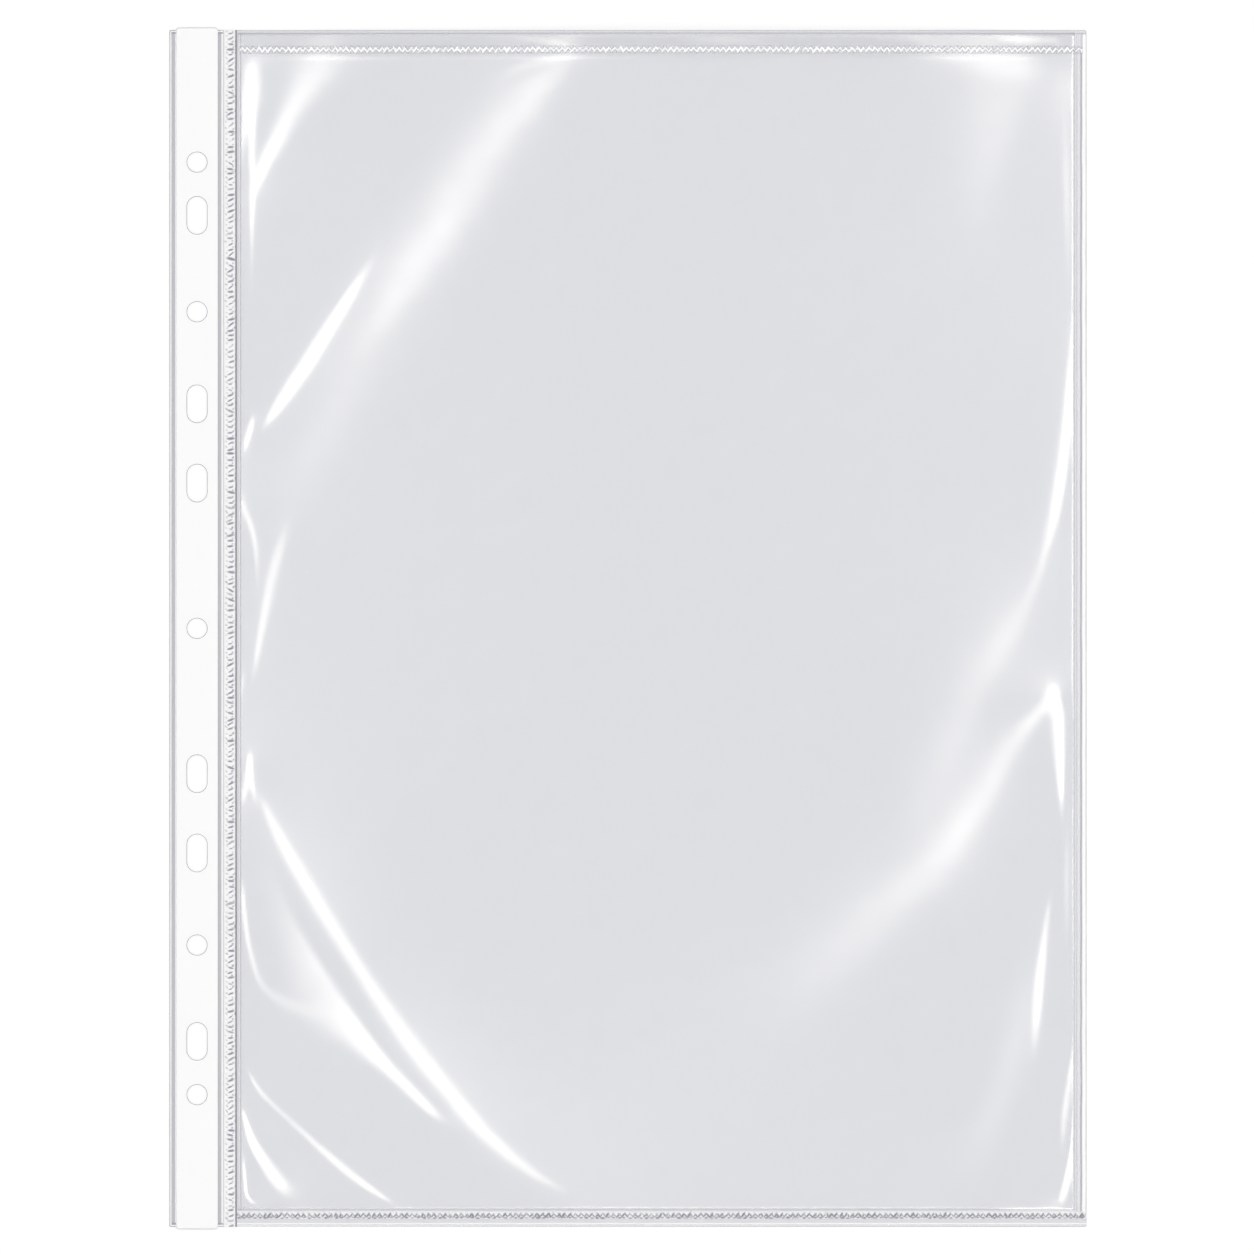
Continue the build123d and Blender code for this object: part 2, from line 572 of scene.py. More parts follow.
def makeMargin(shape):
    right = crease + shape["pocketSide"]
    low = marginLow[:2]
    high = np.array([right, marginHigh[1]])
    edge = [(0.0, cornerLoop(low, high, [shape["corner"], 0.0, 0.0, shape["corner"]]))]
    holes = holeLoops([(holeDepth + number, -step[0]) for number, step in enumerate(shape["lipSteps"])])
    columns = np.concatenate([
        np.arange(low[0] + shape["fineStep"], stripLow[0] + shape["underStrip"], shape["fineStep"]),
        np.arange(stripHigh[0] - shape["underStrip"], right - shape["edgeGap"], shape["fineStep"]),
    ])
    rows = np.arange(low[1] + shape["rowStep"] / 2, high[1] - shape["rowStep"] / 2, shape["rowStep"])
    ends = np.arange(*shape["endRows"])
    rows = np.concatenate([low[1] + ends, rows, high[1] - ends[::-1]])
    extra = [(x, y) for y in rows for x in columns]
    double = 2 * filmThickness

    def topAt(x, y, depth):
        bead = ridgeAt(x - low[0], *shape["bead"], marginHigh[2] - double)
        return double + bead + ridgeAt(x - crease, *shape["ridge"])

    def marksAt(x, y, depth):
        fromEnd = np.minimum(y - low[1], high[1] - y)
        fromRim = np.minimum(fromEnd, x - low[0])
        haze, tone = bandMarks(x - low[0], shape["foldBands"])
        haze, tone = bandMarks(x - crease, shape["creaseBands"], haze, tone)
        haze, tone = bandMarks(fromEnd, shape["endBands"], haze, tone)
        haze, tone = bandMarks(fromRim, shape["rimBands"], haze, tone)
        # rings of film inside the holes: their dark tones are painted shade on the punched rims
        for number, (_, lipHaze, lipTone) in enumerate(shape["lipSteps"]):
            haze = np.where(depth == holeDepth + number, lipHaze, haze)
            tone = np.where(depth == holeDepth + number, lipTone, tone)
        return {"haze": haze, "tone": tone}

    film = plate("marginFilm", edge, holes, extra, topAt, marginLow[2], marksAt, clearFilm)
    bend = (crease - shape["bendHalf"], crease + shape["bendHalf"])
    start, end = ((x * mm, 0, filmThickness * mm) for x in bend)
    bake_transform(film)
    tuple(start)
    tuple(end)
    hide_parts("margin_film")
    flat = ((right - low[0]) * mm, (high[1] - low[1]) * mm)
    return right


marginEnd = makeMargin(marginShape)
print("margin film made")


# back sheet of the pocket

backShape = {
    "corner": 0.5,
    "edgeSteps": (  # inset, haze and tone along the trimmed edges
        (0.0, 0.3, 0.45), (0.1, 0.25, 0.45), (0.25, 0.0, 1.0), (0.75, 0.0, 1.0), (0.9, 0.0, 1.0),
    ),
    "mouthSteps": (  # the same along the mouth
        (0.0, 0.28, 0.45), (0.1, 0.2, 0.45), (0.25, 0.07, 0.5), (0.75, 0.07, 0.5), (0.9, 0.03, 0.3),
    ),
    "mouthReach": 1.0,
    "columns": (1.0, 40),  # inset and number of the inner places
    "rows": (-0.3, 0.1),  # their places from the upper edge of the hem
    "lipHaze": 0.03,  # behind the mouth lip
    "lipTone": 0.3,
}


def makeBack(shape):
    low = np.array([marginEnd, backLow[1]])
    high = backHigh[:2]
    edge = edgeLoops(low, high, [0.0, shape["corner"], shape["corner"], 0.0], shape["edgeSteps"])
    sides, count = shape["columns"]
    columns = np.linspace(low[0] + sides, high[0] - sides, count)
    extra = [(x, hemHigh[1] + row) for row in shape["rows"] for x in columns]

    def topAt(x, y, depth):
        return np.full(len(x), backHigh[2])

    def marksAt(x, y, depth):
        haze, tone = stepMarks(depth, shape["edgeSteps"])
        mouthHaze, mouthTone = stepMarks(depth, shape["mouthSteps"])
        atMouth = y > high[1] - shape["mouthReach"]
        haze = np.where(atMouth, mouthHaze, haze * (x > weldHigh[0]))
        tone = np.where(atMouth, mouthTone, tone)
        inLip = (depth == flatDepth) & (y > hemHigh[1])
        haze = np.where(inLip, shape["lipHaze"], haze)
        return {"haze": haze, "tone": np.where(inLip, shape["lipTone"], tone)}

    film = plate("backFilm", edge, [], extra, topAt, backLow[2], marksAt, clearFilm)
    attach(film, "pocket")
    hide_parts("back_film")


makeBack(backShape)
print("back film made")


# knurled weld beside the crease

bindingWeldShape = {
    "columnStep": 0.13,
    "rowStep": 0.13,
    "edge": 0.35,  # width of the rounded edges
    "pitch": 1.39,
    "jitter": 0.13,
    "press": 0.18,  # depth of the strokes
    # how far a stroke darkens the weld: painted shade in the pressed hollows
    "strokeShade": 0.88,
    "haze": 0.85,
    "rows": (  # from the left edge
        (1.85, 0.8, 0.26, 0.0, 0.12, 1.0),
        (0.8, 0.3, 0.22, 0.4, -0.6, 0.5),
        (2.4, 0.28, 0.3, 0.3, 0.3, 0.6),
        (3.15, 0.16, 0.4, 0.5, 0.0, 0.6),
    ),
    "bands": (
        (0.06, 0.1, 0.5, 0.8),
        # the dark band at the pocket side is painted shade where the front film rises steeply from the weld
        (3.26, 0.26, 0.98, 0.1),
    ),
}


def makeBindingWeld(shape, seed=11):
    xs = evenPlaces(marginEnd, weldHigh[0], shape["columnStep"], more=2)
    ys = evenPlaces(weldLow[1], weldHigh[1], shape["rowStep"])
    gridX, gridY = np.meshgrid(xs, ys)
    across = gridX - marginEnd
    dimples = pressPattern(gridY, across, shape, seed)
    haze, tone = bandMarks(across, shape["bands"])
    haze = np.maximum(haze, shape["haze"])
    # painted shade in the pressed strokes
    tone = tone * (1 - shape["strokeShade"] * dimples)
    crown = ramp(np.minimum(across, xs[-1] - gridX), shape["edge"])
    top = weldTop(weldHigh[2], crown) - shape["press"] * dimples * crown
    weld = quilt("bindingWeld", gridX, gridY, top, backHigh[2] + filmGap, haze, tone, pressedWeld)
    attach(weld, "pocket")
    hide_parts("binding_weld")


makeBindingWeld(bindingWeldShape)
print("binding weld made")


# knurled weld along the bottom, with its trimmed flange

bottomWeldShape = {
    "columnStep": 0.14,
    "rowStep": 0.13,
    "corner": 0.5,
    "plainEnd": 0.6,  # the trimmed corner has no strokes
    "weldWidth": 2.2,
    "edge": 0.3,
    "ridge": (0.6, 0.35, 0.05),  # place from the bottom edge, half width and height
    "pitch": 1.4,
    "jitter": 0.1,
    "press": 0.15,
    # how far a stroke darkens the weld: painted shade in the pressed hollows
    "strokeShade": 0.9,
    "shade": 0.06,
    "haze": 0.8,
    "rows": (  # from the bottom edge
        (2.92, 0.66, 0.3, 0.0, 0.7, 1.0),
        (2.87, 0.62, 0.28, 0.5, -0.7, 0.9),
        (2.32, 0.26, 0.5, 0.25, 0.0, 0.9),
        (3.5, 0.16, 0.26, 0.1, 0.4, 0.5),
    ),
    "bands": (
        (0.0, 0.1, 0.45, 0.5),
        (0.5, 0.07, 0.35, 0.7),
        (0.8, 0.22, 0.95, 1.0),
        (1.5, 0.5, 0.5, 0.8),
    ),
}


def makeBottomWeld(shape, seed=23):
    xs = evenPlaces(weldHigh[0], sideHigh[0], shape["columnStep"])
    ys = evenPlaces(bottomLow[1], bottomHigh[1], shape["rowStep"], more=1)
    gridX, gridY = np.meshgrid(xs, ys)
    below = np.clip(1 - (gridY - bottomLow[1]) / shape["corner"], 0, 1)
    trim = shape["corner"] * (1 - np.sqrt(1 - below ** 2))
    gridX = xs[0] + (gridX - xs[0]) * (1 - trim / (xs[-1] - xs[0]))
    across = gridY - bottomLow[1]
    weldStart = bottomHigh[1] - bottomLow[1] - shape["weldWidth"]
    inWeld = ramp(across - weldStart, shape["edge"])
    dimples = pressPattern(gridX, across, shape, seed) * inWeld
    dimples = dimples * ramp(sideHigh[0] - gridX, shape["plainEnd"])
    haze, tone = bandMarks(across, shape["bands"])
    haze = np.maximum(haze, shape["haze"] * inWeld)
    # the strokes' darkening is painted shade in the pressed hollows
    tone = tone * (1 - shape["shade"] * inWeld) * (1 - shape["strokeShade"] * dimples)
    crown = inWeld * ramp(bottomHigh[1] - gridY, shape["edge"])
    top = weldTop(bottomHigh[2], crown) + ridgeAt(across, *shape["ridge"])
    top = top - shape["press"] * dimples * crown
    weld = quilt("bottomWeld", gridX, gridY, top, backHigh[2] + filmGap, haze, tone, pressedWeld)
    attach(weld, "pocket")
    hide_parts("bottom_weld")


makeBottomWeld(bottomWeldShape)
print("bottom weld made")


# plain weld up the free side, with its trimmed flange

sideWeldShape = {
    "columnStep": 0.1,
    "rowSpacing": (0.2, 0.12, 1.6),  # near marked places, growth away from them and limit
    "weldWidth": 1.5,
    "edges": (0.3, 0.4),  # width of its left and right edge
    "ridge": (2.0, 0.3, 0.05),  # place from the left edge, half width and height
    "drift": (60, 0.03),  # the bands stray: number of places and amount
    "plainLip": (0.6, 1.7, 0.75),  # beside the lip: fade, width and share of the haze that is lost
    "mouthLine": (0.3, 0.6, 0.6),  # half width, haze and shade
    "bands": (  # from the left edge
        (0.2, 0.26, 0.35, 0.62),
        (0.72, 0.18, 0.6, 0.95),
        (1.32, 0.19, 0.85, 0.2),
        (2.1, 0.56, 0.97, 1.0),
        (2.68, 0.08, 0.3, 0.6),
    ),
}


def makeSideWeld(shape, seed=37):
    draw = np.random.default_rng(seed)
    low = bottomHigh[1]
    high = sideHigh[1]
    xs = evenPlaces(sideLow[0], sideHigh[0], shape["columnStep"])
    marked = (low, hemLow[1], hemHigh[1], high)
    ys = gradedPlaces(low, high, marked, *shape["rowSpacing"])
    gridX, gridY = np.meshgrid(xs, ys)
    across = gridX - sideLow[0]
    count, amount = shape["drift"]
    drift = np.interp(gridY, np.linspace(low, high, count), draw.normal(0, amount, count))
    haze, tone = bandMarks(across + drift, shape["bands"])
    lipFade, lipWidth, lipLoss = shape["plainLip"]
    haze = haze * (1 - lipLoss * ramp(gridY - hemLow[1], lipFade) * (across < lipWidth))
    haze, tone = mouthMarks(haze, tone, high - gridY, *shape["mouthLine"])
    leftEdge, rightEdge = shape["edges"]
    inWeld = ramp(shape["weldWidth"] - across, rightEdge) * ramp(across, leftEdge)
    top = weldTop(sideHigh[2], inWeld) + ridgeAt(across, *shape["ridge"])
    weld = quilt("sideWeld", gridX, gridY, top, backHigh[2] + filmGap, haze, tone, pressedWeld)
    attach(weld, "pocket")
    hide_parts("side_weld")


makeSideWeld(sideWeldShape)
print("side weld made")


# front sheet of the pocket, with the soft folds that the film is left with

frontShape = {
    "seamRise": 0.9,  # steep rise of the film beside its welds
    "seamReach": 0.24,
    "dome": 1.4,
    "domePower": 1.15,  # across the sheet
    "bottomPower": 1.25,  # up from the bottom weld
    "bottomReach": 65.0,
    "mouthStart": 90.0,  # from here the dome falls towards the mouth
    "mouthDrop": 0.3,  # share of the dome that is lost there
    "swells": ((0.16, 120, 5), (0.012, 10, 6)),  # height, size and seed
    "least": 0.02,  # height above the back sheet
    "fieldStep": 0.4,
    "foldGain": 1.12,
    "columnSpacing": (0.13, 0.085, 0.95),  # near the seams, growth away from them and limit
    "rowSpacing": (0.2, 0.085, 0.95),
    "hemLine": 0.9,  # close rows this far below the hem
    "leftBands": (  # from the left weld: a painted light band, then a painted shade line, where the film rises steeply
        (0.48, 0.24, 0.4, 1.0),
        (0.95, 0.14, 0.45, 0.4),
    ),
    "rightBands": (  # from the side weld: painted shade where the film rises steeply, over its bright line
        (0.35, 0.5, 0.13, 0.72),
    ),
    "bottomBands": (  # from the bottom weld: painted shade where the film rises steeply, over its bright line
        (0.35, 0.55, 0.2, 0.75),
    ),
    "plainLip": 0.6,  # fade of the right band of painted shade below the lip
    "plainCorner": (104.0, 14.0),  # end and fade of the bottom band of painted shade, which leaves the right corner bright
    "mouthLine": (0.28, 0.6, 0.65),  # half width, haze and shade
    "clouds": ((0.004, 30, 8), (0.004, 11, 9)),  # haze, size and seed
}

# each fold is a line of places with the width of its bright slope, high side towards the middle of
# the pocket; outer and inner are powers that shape its two sides, and lean widens the outer one
folds = {
    "upperLeftEdge": {"slope": 0.23, "outer": 3, "fade": (0.12, 0.3), "path": (
        (-96.6, 147.6, 3.4), (-96.8, 142.5, 5.8), (-96.9, 136, 5.2), (-97, 130.5, 2.6),
        (-97.2, 125, 0.6))},
    "upperLeftFork": {"slope": 0.125, "fade": (0.3, 0.3), "path": (
        (-96.4, 133, 1), (-96.6, 127.6, 1), (-96.8, 122, 0.9), (-97, 115, 0.6))},
    "upperLeftSpike": {"slope": 0.15, "fade": (0.2, 0.5), "path": (
        (-98.4, 137, 1.6), (-98.6, 131.6, 1.6), (-99, 126, 0.9), (-99.3, 119, 0.5))},
    "upperLeftSplit": {"slope": 0.12, "fade": (0.2, 0.6), "path": (
        (-96.3, 122, 0.5), (-96.5, 114, 0.8), (-96.7, 107, 0.7), (-96.8, 96, 0.5), (-97.2, 78, 0.4))},
    "upperLeftWedge": {"slope": 0.185, "outer": 2, "fade": (0.02, 0.1), "path": (
        (-73.4, 150, 15), (-82.1, 140, 9.6), (-86.8, 132.8, 6), (-90.4, 125.3, 3.8), (-93.9, 118.2, 2),
        (-96.1, 111.6, 0.7))},
    "longSoft": {"slope": 0.036, "inner": 2.5, "fade": (0.02, 0.14), "path": (
        (-14.2, 147.5, 3), (-19.2, 143, 4.6), (-23.8, 138.2, 5.8), (-29.3, 131.6, 7), (-36.6, 121.3, 7.4),
        (-47, 104.3, 7), (-57.8, 88, 5.6), (-65.8, 76.8, 4.2), (-70.6, 69, 2.6))},
    "longSoftTop": {"slope": 0.05, "fade": (0.3, 0.3), "path": (
        (-36, 140.4, 0.8), (-27, 144.6, 1.4), (-13, 147.2, 0.8))},
    "sharpBlade": {"slope": 0.185, "outer": 2.5, "inner": 3, "fade": (0.25, 0.1), "path": (
        (-64, 98, 0.5), (-69.1, 89.5, 1.2), (-77.9, 75.5, 2.2), (-83.3, 66.9, 2.7), (-88.3, 59.5, 2.4),
        (-94.8, 50, 0.5))},
    "faintBand": {"slope": 0.028, "fade": (0.3, 0.3), "path": (
        (-66, 76, 5), (-71.4, 65, 7), (-81.2, 45, 7), (-89.4, 28, 4))},
    "leftFlick": {"slope": 0.17, "path": (
        (-96.2, 55, 0.5), (-97.4, 50.6, 1.2), (-98.8, 45.6, 0.5))},
    "leftCurl": {"slope": 0.12, "fade": (0.05, 0.5), "path": (
        (-99.4, 34, 0.5), (-98.6, 30.3, 1), (-97.1, 26.6, 0.8), (-95.9, 21.6, 0.6), (-95.4, 16, 0.5),
        (-95.4, 7, 0.4))},
    "leftSoft": {"slope": 0.1, "inner": 3, "outer": 3, "fade": (0.2, 0.2), "path": (
        (-86.8, 30, 1.4), (-90.8, 16.3, 2), (-93.3, 4.7, 1.7), (-95.2, -5.7, 1.1), (-97, -16, 0.5))},
    "leftTinyFlick": {"slope": 0.08, "path": (
        (-98.7, -11.5, 0.5), (-99.2, -14, 0.8), (-99.8, -17, 0.5))},
    "leftPeakOuter": {"slope": 0.14, "path": (
        (-97.2, -32, 0.5), (-97.9, -38.5, 0.9), (-99.2, -45, 0.5))},
    "leftPeakInner": {"slope": 0.12, "path": (
        (-97.2, -33, 0.4), (-96.9, -38.5, 0.7), (-95.8, -44.6, 0.4))},
    "longBlade": {"slope": 0.1, "outer": 2, "inner": 2.5, "fade": (0.04, 0.06), "path": (
        (-95.2, -41.6, 0.5), (-90.1, -52.7, 1.4), (-82.5, -65.8, 2), (-65.6, -92.9, 2.4),
        (-55.8, -106.9, 2.4), (-46.5, -118.5, 2.2), (-36.4, -130.1, 1.9), (-27.7, -137.7, 1.5),
        (-21.4, -142, 0.9), (-13.8, -146, 0.4))},
    "lowerLeftFan": {"slope": 0.19, "inner": 4, "outer": 2.6, "lean": 4.8, "fade": (0.4, 0.05), "path": (
        (-94.2, -56.4, 1), (-89.8, -68.4, 1.9), (-82.8, -82.6, 3.2), (-76.3, -93.9, 4.8),
        (-69.2, -102.8, 2.6), (-61.6, -111.8, 1), (-53.6, -120.2, 0.7), (-46.6, -127.5, 0.4))},
    "lowerLeftArc": {"slope": 0.165, "fade": (0.1, 0.5), "path": (
        (-99.2, -64, 0.5), (-98.6, -74, 0.9), (-97, -84, 1.2), (-93.8, -92.4, 1.5), (-87.6, -96.8, 2),
        (-78, -99.6, 2))},
    "cornerBlade": {"slope": 0.23, "outer": 2.5, "inner": 2.5, "path": (
        (-98.8, -111.6, 0.6), (-95.2, -118.4, 1), (-87.5, -126.1, 1.5), (-78.2, -134.6, 1.8),
        (-70.5, -141.1, 1.6), (-58.8, -149.2, 0.6))},
    "cornerWedge": {"slope": 0.28, "outer": 3, "fade": (0.08, 0.2), "path": (
        (-99.4, -123, 0.6), (-96.7, -131.7, 2.4), (-93, -137.9, 4.6), (-89.5, -142.6, 5.6),
        (-85, -147.4, 4))},
    "cornerFlick": {"slope": 0.3, "fade": (0.3, 0.2), "path": (
        (-99, -133, 0.6), (-98.6, -141, 1.2), (-97.4, -147, 0.9), (-94, -149, 0.6))},
    "upperRightFan": {"slope": 0.03, "fade": (0.02, 0.8), "path": (
        (105.4, 149, 4), (103.8, 144, 4.4), (101, 137, 3.6), (98.8, 130, 2.6), (96.6, 121, 2))},
    "hemGlow": {"slope": 0.1, "fade": (0.7, 0.08), "path": (
        (68, 146, 1.6), (88, 145.4, 3.6), (100, 144.6, 6), (107, 145, 6), (111, 146, 4))},
    "rightSoftEdge": {"slope": 0.06, "fade": (0.4, 0.4), "path": (
        (111.8, 138, 0.4), (112.3, 130, 0.7), (112.7, 120, 0.9), (113, 105, 0.8), (113.3, 84, 0.5))},
    "rightSweep": {"slope": 0.15, "outer": 3, "fade": (0.3, 0.4), "path": (
        (114.2, 84, 0.5), (113.4, 60, 1.1), (112.6, 48, 1.6), (111.3, 37.8, 1.9), (109.6, 28.3, 1.7),
        (107.6, 20.5, 1.3), (105.7, 13.6, 1.1), (101.4, 5, 0.8))},
    "rightSweepSoft": {"slope": 0.024, "inner": 2, "outer": 3, "fade": (0.1, 0.4), "path": (
        (107, 20, 1.6), (103.6, 9.6, 2.4), (98.6, 0.4, 4), (92.6, -9.4, 5), (86.4, -20, 6.6),
        (79.2, -32.6, 8), (69, -48.8, 8))},
    "rightLongSoft": {"slope": 0.05, "inner": 2, "outer": 2.5, "fade": (0.02, 0.6), "path": (
        (110, -15.6, 2.4), (106.2, -21, 3), (99.8, -28.5, 3.6), (93.4, -39.6, 4.2), (86.8, -50.4, 5),
        (78.2, -62, 6), (67.8, -70.8, 6.4), (55.6, -82.6, 7), (41.6, -96.6, 7))},
    "rightPeak": {"slope": 0.2, "outer": 4, "fade": (0.1, 0.3), "path": (
        (109.2, -14.8, 1.8), (110.6, -21, 3.4), (111, -28.6, 3.4), (111.4, -38.7, 2), (111.7, -52, 0.6))},
    "rightThin": {"slope": 0.1, "fade": (0.3, 0.3), "path": (
        (112.9, -46, 0.5), (112.9, -65, 0.9), (112.9, -88, 0.5))},
    "rightBlade": {"slope": 0.17, "outer": 3, "inner": 3, "fade": (0.12, 0.35), "path": (
        (109, -66, 0.5), (107.5, -77.1, 1.1), (106.2, -88.9, 1.7), (105.2, -101, 1.4),
        (104.1, -116, 0.6))},
    "rightBladeShade": {"slope": 0.11, "fade": (0.3, 0.2), "path": (
        (103.2, -74, 4), (101.2, -94, 6), (98.4, -112, 7), (92.8, -128.4, 8), (83.4, -146, 9))},
    "rightCornerBlade": {"slope": 0.17, "fade": (0.2, 0.25), "path": (
        (114.6, -106, 0.5), (113.3, -118, 1.3), (112.1, -127, 1.6), (111.3, -138, 0.8))},
    "rightCornerFoot": {"slope": 0.25, "fade": (0.25, 0.03), "path": (
        (114.8, -123, 0.4), (114.4, -133, 0.9), (113.4, -140, 1.8), (112, -146, 2.8),
        (111.2, -148.6, 2.4))},
    "lipStreakMiddle": {"slope": 0.13, "fade": (0.3, 0.3), "path": (
        (10, 151.6, 1), (24, 151.3, 1.6), (40, 151, 1))},
    "lipStreakEnd": {"slope": 0.19, "fade": (0.3, 0.1), "path": (
        (94, 151.8, 1), (104, 151.6, 2.2), (112, 151.2, 2))},
    "longSoftHalo": {"slope": 0.1, "fade": (0.02, 0.5), "path": (
        (-10, 152, 12), (-21, 140, 14), (-37.5, 121.4, 15), (-47.9, 104.5, 14), (-58.6, 88, 13),
        (-69.6, 68, 11), (-80, 48, 9), (-89, 30, 6))},
    "longBladeHalo": {"slope": 0.104, "inner": 3, "lean": 0.18, "fade": (0.27, 0.4), "path": (
        (-94, -40, 18), (-82.5, -65.8, 26), (-65.4, -92.8, 32), (-46.3, -118.5, 32), (-27.7, -137.8, 30),
        (-10, -150, 26))},
    "upperRightHalo": {"slope": 0.084, "lean": 0.5, "fade": (0.02, 0.8), "path": (
        (97.2, 150, 15), (96, 142, 14), (94.6, 133, 13), (92.8, 123, 12), (90.4, 110, 10),
        (87.6, 95, 8))},
    "rightSweepHalo": {"slope": 0.064, "lean": 0.5, "fade": (0.2, 0.3), "path": (
        (105.4, 12.4, 7), (98, -1.2, 11), (88.2, -17.4, 14), (78.8, -32.8, 16), (68, -49.6, 15))},
    "rightLongHalo": {"slope": 0.097, "lean": 0.85, "fade": (0.06, 0.22), "path": (
        (107, -18, 7), (99.4, -28.2, 11), (88, -46, 16), (77.8, -61.6, 20), (66.6, -70.6, 21),
        (54.6, -81.6, 20), (42.4, -93.4, 17), (31, -104, 13))},
    "longSoftHead": {"slope": 0.046, "fade": (0.05, 0.5), "path": (
        (-12.6, 149, 4), (-18.4, 143.4, 5), (-24.2, 137.4, 5), (-30, 130, 4))},
    "rightPeakShoulder": {"slope": 0.1, "fade": (0.05, 0.6), "path": (
        (110.4, -15.4, 1.6), (107.8, -18.8, 2), (104.2, -23.2, 2.4), (99.8, -28.8, 3))},
    "fanTop": {"slope": 0.1, "fade": (0.4, 0.08), "path": (
        (97, 144, 4), (103, 143.6, 6.4), (107, 144.4, 6.4), (111, 146, 4))},
    "hemStep": {"slope": 0.065, "path": (
        (-97, 146.6, 0.5), (-60, 146.7, 0.6), (20, 146.8, 0.5), (100, 146.7, 0.6), (113, 146.6, 0.5))},
    "lipStreak": {"slope": 0.17, "fade": (0.3, 0.3), "path": (
        (-33, 152.4, 1), (-23.5, 151.5, 1.8), (-12.5, 149.8, 1))},
    "lipStreakRight": {"slope": 0.15, "fade": (0.3, 0.3), "path": (
        (56, 152, 1), (68, 151.9, 1.6), (82, 151.9, 1))},
}

foldShape = {
    "brightSlope": 0.12,  # least slope that throws bright light up to the camera
    "leastExcess": 1.3,  # multiple of it that sets the width of all fainter folds
    "leastWidth": 0.4,
    "fade": (0.08, 0.08),  # shares of the line over which its ends fade
    "skirt": (0.18, 2.6, 1.2),  # share of the slope, and width as a multiple and an addition
    "reach": (6, 8),  # how far a fold is worked out, the same way
    "places": (12, 1.5),  # least number and spacing along a line
}


def foldLine(path):
    # evenly spaced places along a smooth line through the path, with widths
    knots = np.array(path, float)
    reach = np.concatenate([[0], np.cumsum(np.linalg.norm(np.diff(knots[:, :2], axis=0), axis=1))])
    slopes = np.gradient(knots, reach, axis=0)
    least, spacing = foldShape["places"]
    along = np.linspace(0, reach[-1], max(least, int(reach[-1] / spacing)))
    span = np.clip(np.searchsorted(reach, along, side="right") - 1, 0, len(knots) - 2)
    length = (reach[span + 1] - reach[span])[:, None]
    t = (along - reach[span])[:, None] / length
    before = knots[span] * (2 * t ** 3 - 3 * t ** 2 + 1) + slopes[span] * length * (t ** 3 - 2 * t ** 2 + t)
    after = knots[span + 1] * (3 * t ** 2 - 2 * t ** 3) + slopes[span + 1] * length * (t ** 3 - t ** 2)
    return before + after


def foldSlope(grid, fold):
    # slope that one fold asks of the film, across its line and only near it; X is real, Y imaginary
    line = foldLine(fold["path"])
    spots = line[:, 0] + 1j * line[:, 1]
    lean = fold.get("lean", 1.0)
    reachTimes, reachMore = foldShape["reach"]
    margin = reachTimes * line[:, 2].max() * max(lean, 1.0) + reachMore
    close = (grid.real > spots.real.min() - margin) & (grid.real < spots.real.max() + margin)
    close = close & (grid.imag > spots.imag.min() - margin) & (grid.imag < spots.imag.max() + margin)
    near = grid[close]
    best = np.full(near.shape, np.inf)
    share = np.zeros_like(best)
    side = np.zeros_like(best)
    uphill = np.zeros_like(near)
    for index, (start, step) in enumerate(zip(spots, np.diff(spots))):
        t = np.clip(((near - start) / step).real, 0, 1)
        off = near - start - t * step
        away = np.abs(off)
        nearer = away < best
        best = np.where(nearer, away, best)
        share = np.where(nearer, (index + t) / (len(line) - 1), share)
        side = np.where(nearer, np.sign((off / step).imag), side)
        uphill = np.where(nearer, 1j * step / abs(step), uphill)
    middle = len(line) // 2
    toCentre = pocketCentre[0] + 1j * pocketCentre[1] - spots[middle]
    inward = np.sign((toCentre / (spots[middle] - spots[middle - 1])).imag)
    widths = np.maximum(line[:, 2], foldShape["leastWidth"])
    width = np.interp(share, np.linspace(0, 1, len(line)), widths)
    excess = math.log(max(fold["slope"] / foldShape["brightSlope"], foldShape["leastExcess"]))
    outside = side * inward < 0
    power = np.where(outside, fold.get("outer", 2), fold.get("inner", 2))
    spread = width / 2 / excess ** (1 / power) * np.where(outside, lean, 1.0)
    fadeIn, fadeOut = fold.get("fade", foldShape["fade"])
    ends = ramp(share, fadeIn) * ramp(1 - share, fadeOut)
    skirtShare, skirtTimes, skirtMore = foldShape["skirt"]
    skirt = bell(best, skirtTimes * spread + skirtMore)
    profile = (1 - skirtShare) * bell(best, spread, power) + skirtShare * skirt
    slope = np.zeros_like(grid)
    slope[close] = fold["slope"] * profile * ends * inward * uphill
    return slope


def settleFilm(slope, step):
    # height whose slopes come closest to those asked for, held down at three sides and free at the mouth
    source = np.gradient(slope.real, step[0], axis=1) + np.gradient(slope.imag, step[1], axis=0)
    source[0] = 0
    source[:, 0] = 0
    source[:, -1] = 0
    mirrored = np.concatenate([source, source[-2::-1]], 0)
    odd = np.concatenate([mirrored[:-1], -mirrored[:0:-1]], 0)
    odd = np.concatenate([odd[:, :-1], -odd[:, :0:-1]], 1)
    rows, columns = odd.shape
    waveX = (2 * np.cos(2 * math.pi * np.arange(columns) / columns) - 2) / step[0] ** 2
    waveY = (2 * np.cos(2 * math.pi * np.arange(rows) / rows) - 2) / step[1] ** 2
    stiffness = waveX[None, :] + waveY[:, None]
    stiffness[0, 0] = 1
    height = np.fft.ifft2(np.fft.fft2(odd) / stiffness).real
    return height[:source.shape[0], :source.shape[1]]


